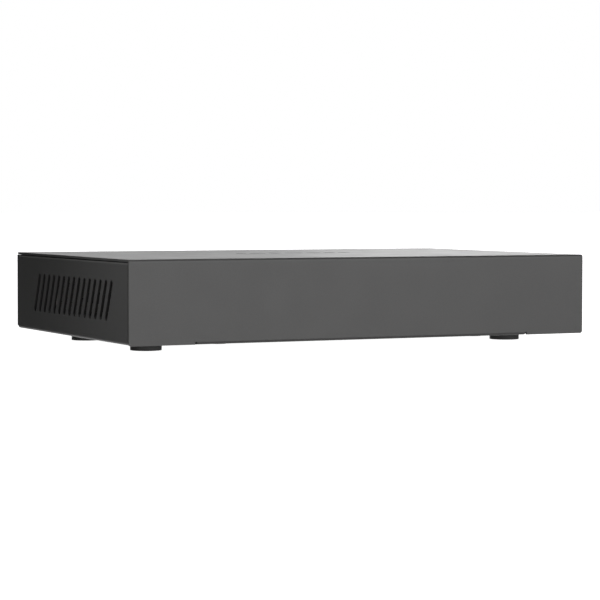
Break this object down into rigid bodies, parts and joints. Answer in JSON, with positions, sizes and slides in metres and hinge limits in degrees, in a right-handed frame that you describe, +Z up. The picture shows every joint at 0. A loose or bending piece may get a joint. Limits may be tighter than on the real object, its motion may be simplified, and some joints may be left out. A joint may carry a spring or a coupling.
{
  "type": "desktop network switch",
  "caption": "Low rectangular steel-cased network switch with a row of data ports on one long face, vented short sides, rubber feet and a cover that slides off.",
  "frame": {"origin": "on the surface it stands on, under the middle of the case", "axes": "+X along the long faces, +Y from the plain long face to the port face, +Z up"},
  "size_m": [0.158, 0.101, 0.0284],
  "materials": {
    "case_paint": "fine-grain matte powder coat, dark grey",
    "bright_zinc": "bright zinc plate",
    "black_zinc": "black zinc plate",
    "foot_rubber": "matte black rubber",
    "board_green": "satin green solder mask",
    "port_plastic": "black moulded plastic",
    "shield_tin": "tin-plated steel, satin",
    "contact_gold": "gold plated",
    "lamp_lens": "milky clear lens, unlit",
    "chip_epoxy": "moulded epoxy",
    "transformer_epoxy": "moulded epoxy",
    "gap_pad": "soft blue-grey silicone",
    "sink_aluminium": "extruded, satin",
    "crystal_can": "nickel-plated can",
    "ferrite_grey": "matte ferrite",
    "capacitor_sleeve": "dark shrink sleeve",
    "fuse_body": "moulded",
    "capacitor_ceramic": "matte ceramic with tinned ends",
    "resistor_film": "glazed, with tinned ends",
    "lead_tin": "tinned leads and solder, satin",
    "winding_copper": "enamelled copper wire",
    "mark_ink": "dark printed ink, satin",
    "print_ink": "light printed ink, matte",
    "board_print": "matte white print"
  },
  "bodies": {
    "case": {"cover_screws": "black_zinc", "base_tray": "case_paint", "board_standoffs": "bright_zinc", "foot_front_left": "foot_rubber", "foot_front_right": "foot_rubber", "foot_back_left": "foot_rubber", "foot_back_right": "foot_rubber", "circuit_board": "board_green", "board_screws": "bright_zinc", "port_housing_left": "port_plastic", "port_housing_right": "port_plastic", "port_shield_left": "shield_tin", "port_shield_right": "shield_tin", "port_contacts_left": "contact_gold", "port_contacts_right": "contact_gold", "port_lamps_left": "lamp_lens", "port_lamps_right": "lamp_lens", "transformer_1": "transformer_epoxy", "transformer_2": "transformer_epoxy", "transformer_3": "transformer_epoxy", "transformer_4": "transformer_epoxy", "transformer_5": "transformer_epoxy", "transformer_6": "transformer_epoxy", "transformer_7": "transformer_epoxy", "transformer_8": "transformer_epoxy", "switch_chip": "chip_epoxy", "thermal_pad": "gap_pad", "heatsink": "sink_aluminium", "crystal": "crystal_can", "memory_chip": "chip_epoxy", "regulator_chip": "chip_epoxy", "power_inductor": "ferrite_grey", "input_capacitor": "capacitor_sleeve", "output_capacitor": "capacitor_sleeve", "surge_diode": "chip_epoxy", "inlet_fuse": "fuse_body", "chip_capacitors": "capacitor_ceramic", "chip_resistors": "resistor_film", "inlet_housing": "port_plastic", "inlet_pin": "bright_zinc", "inlet_springs": "bright_zinc", "power_lamp": "lamp_lens", "power_lamp_holder": "port_plastic"},
    "cover": {"top_cover": "case_paint", "cover_hooks": "bright_zinc"}
  },
  "joints": [
    {"name": "cover_slide", "type": "slide", "parent": "case", "child": "cover", "axis": [0, -1, 0], "range_m": [0, 0.112]}
  ]
}
